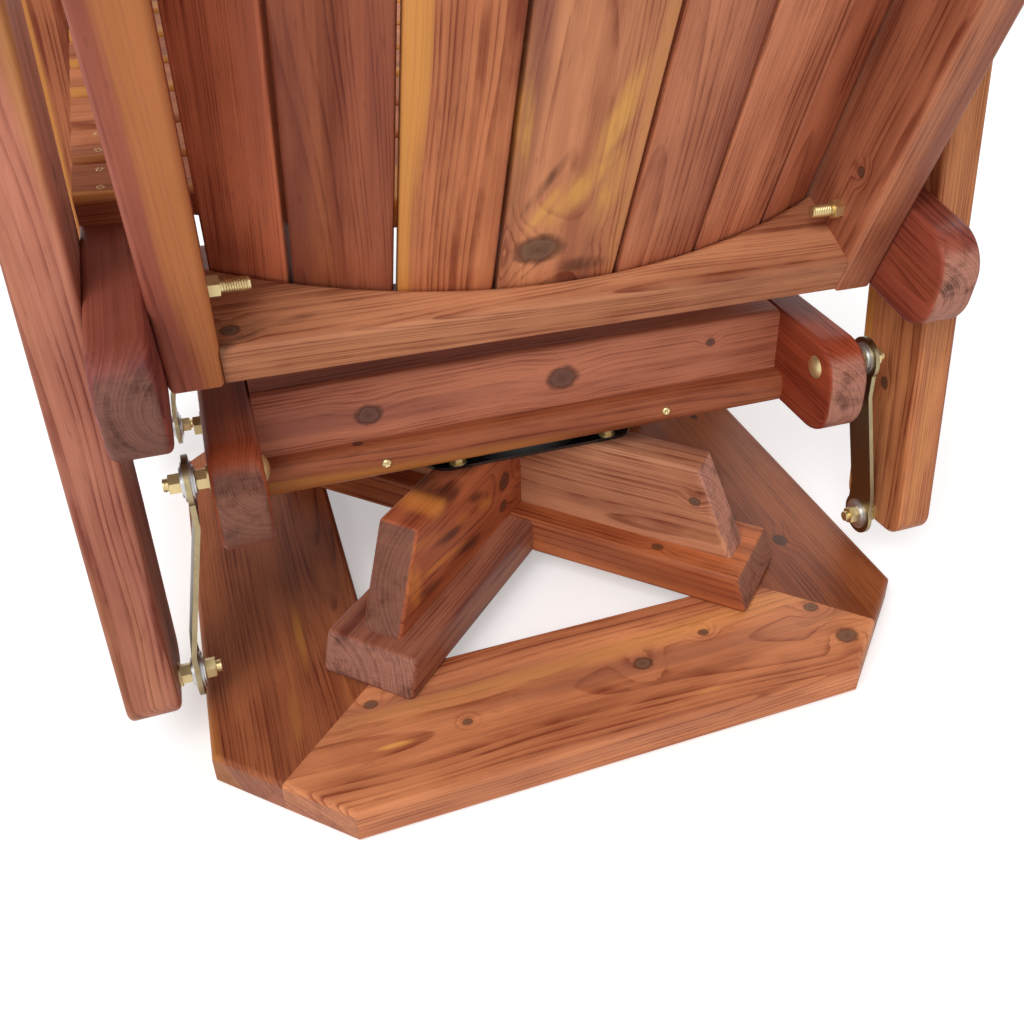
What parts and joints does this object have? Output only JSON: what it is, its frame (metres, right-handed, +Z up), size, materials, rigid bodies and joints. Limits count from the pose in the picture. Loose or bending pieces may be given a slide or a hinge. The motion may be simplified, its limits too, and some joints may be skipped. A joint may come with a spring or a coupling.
{
  "type": "adirondack swivel glider",
  "caption": "Wooden slatted lounge chair that glides on hanging steel links under a carriage, which turns on a ball-race swivel over a flat board base.",
  "frame": {"origin": "on the floor, on the axis of the swivel", "axes": "+Z up, the chair faces -Y, +X is the sitter's left"},
  "size_m": [0.784, 0.855, 0.9829],
  "materials": {
    "cedar_base": "oiled satin",
    "cedar_frame": "oiled satin",
    "cedar_slats": "oiled satin",
    "yellow_zinc": "yellow zinc plated",
    "bright_zinc": "bright zinc plated",
    "black_steel": "gloss black"
  },
  "bodies": {
    "base": {"base_board_front": "cedar_base", "base_board_rear": "cedar_base", "base_board_left": "cedar_base", "base_board_right": "cedar_base", "lower_cross_a": "cedar_base", "lower_cross_b": "cedar_base", "upper_cross_a": "cedar_base", "upper_cross_b": "cedar_base", "base_screws": "yellow_zinc", "swivel_lower_plate": "black_steel", "swivel_lower_race": "bright_zinc", "swivel_balls": "bright_zinc", "swivel_pin": "bright_zinc", "swivel_lower_bolts": "yellow_zinc"},
    "carriage": {"swivel_upper_plate": "black_steel", "swivel_upper_race": "bright_zinc", "swivel_upper_bolts": "yellow_zinc", "carriage_rail_left": "cedar_frame", "carriage_rail_right": "cedar_frame", "carriage_flat_front": "cedar_frame", "carriage_flat_rear": "cedar_frame", "carriage_cross_rail_front": "cedar_frame", "carriage_cross_rail_rear": "cedar_frame", "carriage_lag_bolts": "yellow_zinc", "carriage_screws": "yellow_zinc", "link_top_bolts": "yellow_zinc", "link_top_spacers": "yellow_zinc", "link_top_nuts": "yellow_zinc"},
    "rear_links": {"rear_link_left": "yellow_zinc", "rear_link_right": "yellow_zinc", "rear_link_bearings": "bright_zinc"},
    "front_links": {"front_link_left": "yellow_zinc", "front_link_right": "yellow_zinc", "front_link_bearings": "bright_zinc"},
    "seat": {"stringer_left": "cedar_frame", "stringer_right": "cedar_frame", "front_stretcher": "cedar_frame", "leg_rear_left": "cedar_frame", "leg_rear_right": "cedar_frame", "leg_front_left": "cedar_frame", "leg_front_right": "cedar_frame", "seat_slats": "cedar_slats", "back_post_left": "cedar_frame", "back_post_right": "cedar_frame", "lower_back_rail": "cedar_frame", "upper_back_rail": "cedar_frame", "back_slat_1": "cedar_slats", "back_slat_2": "cedar_slats", "back_slat_3": "cedar_slats", "back_slat_4": "cedar_slats", "back_slat_5": "cedar_slats", "back_slat_6": "cedar_slats", "back_slat_7": "cedar_slats", "armrest_left": "cedar_frame", "armrest_right": "cedar_frame", "link_bottom_bolts": "yellow_zinc", "link_bottom_spacers": "yellow_zinc", "link_bottom_nuts": "yellow_zinc", "frame_bolts": "yellow_zinc", "frame_nuts": "yellow_zinc"}
  },
  "joints": [
    {"name": "swivel", "type": "hinge", "parent": "base", "child": "carriage", "pos_m": [0, 0, 0.169], "axis": [0, 0, 1], "continuous": true},
    {"name": "glide", "type": "hinge", "parent": "carriage", "child": "rear_links", "pos_m": [0, 0.157, 0.2449], "axis": [1, 0, 0], "range_deg": [-16, 16]},
    {"name": "front_swing", "type": "hinge", "parent": "carriage", "child": "front_links", "pos_m": [0, -0.243, 0.2449], "axis": [1, 0, 0], "range_deg": [-16, 16]},
    {"name": "seat_level", "type": "hinge", "parent": "rear_links", "child": "seat", "pos_m": [0, 0.157, 0.0649], "axis": [1, 0, 0], "range_deg": [-16, 16]}
  ],
  "couplings": [
    {"joint": "front_swing", "follows": "glide", "ratio": 1},
    {"joint": "seat_level", "follows": "glide", "ratio": -1}
  ]
}
